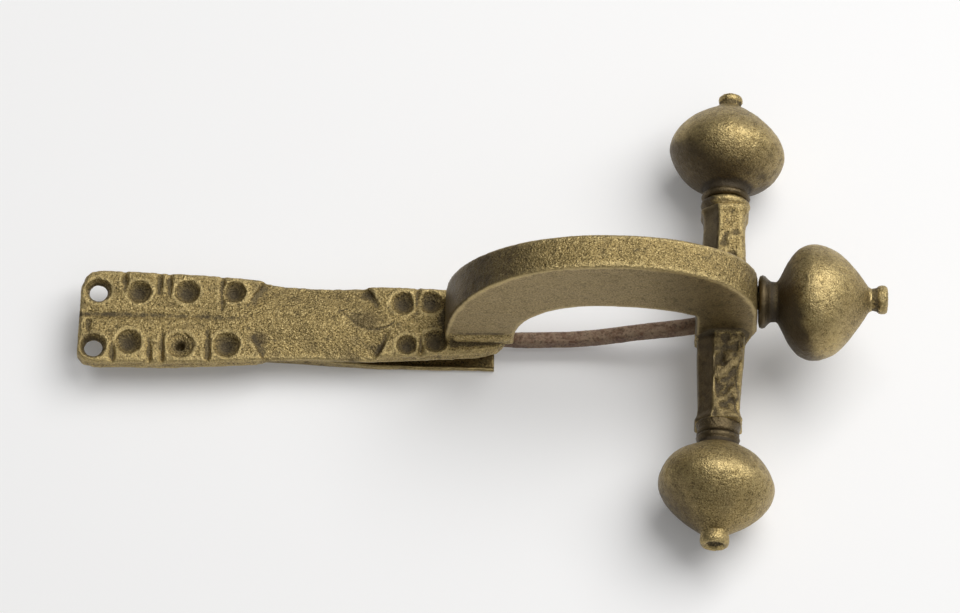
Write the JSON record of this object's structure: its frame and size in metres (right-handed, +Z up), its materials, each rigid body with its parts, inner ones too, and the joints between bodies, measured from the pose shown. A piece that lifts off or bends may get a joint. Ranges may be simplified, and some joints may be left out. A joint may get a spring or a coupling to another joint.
{
  "type": "crossbow brooch",
  "caption": "Cast bow brooch with a long flat foot, a short crossbar, onion knobs and a hinged pin held in a sheet catch.",
  "frame": {"origin": "on the ground, under the middle of the brooch's length and width, with the brooch lying pin side down", "axes": "+X along the length toward the head knob, +Y along the crossbar away from the catch's mouth, +Z up through the bow's crown"},
  "size_m": [0.09, 0.055, 0.0234],
  "materials": {
    "bronze": "weathered cast copper alloy, golden grains through an olive brown patina",
    "catch_sheet": "bent sheet copper alloy with an olive patina",
    "pin_iron": "rough brown rust crust"
  },
  "bodies": {
    "brooch": {"bow_and_foot_casting": "bronze", "catch_sheath": "catch_sheet", "head_knob": "bronze", "head_knob_rivet": "bronze", "near_arm_collar": "bronze", "near_arm_knob": "bronze", "near_arm_rivet": "bronze", "far_arm_collar": "bronze", "far_arm_knob": "bronze", "far_arm_rivet": "bronze"},
    "axle": {"hinge_axle": "pin_iron"},
    "pin": {"pin": "pin_iron"}
  },
  "joints": [
    {"name": "pin_swing", "type": "hinge", "parent": "brooch", "child": "axle", "pos_m": [0.0268, 0, 0.00646], "axis": [-0.0297, -0.9996, 0], "range_deg": [0, 80]},
    {"name": "pin_flex", "type": "hinge", "parent": "axle", "child": "pin", "pos_m": [0.0268, 0, 0.00646], "axis": [0, 0, 1], "range_deg": [0, 11], "stiffness_Nm_per_rad": 0.05}
  ]
}
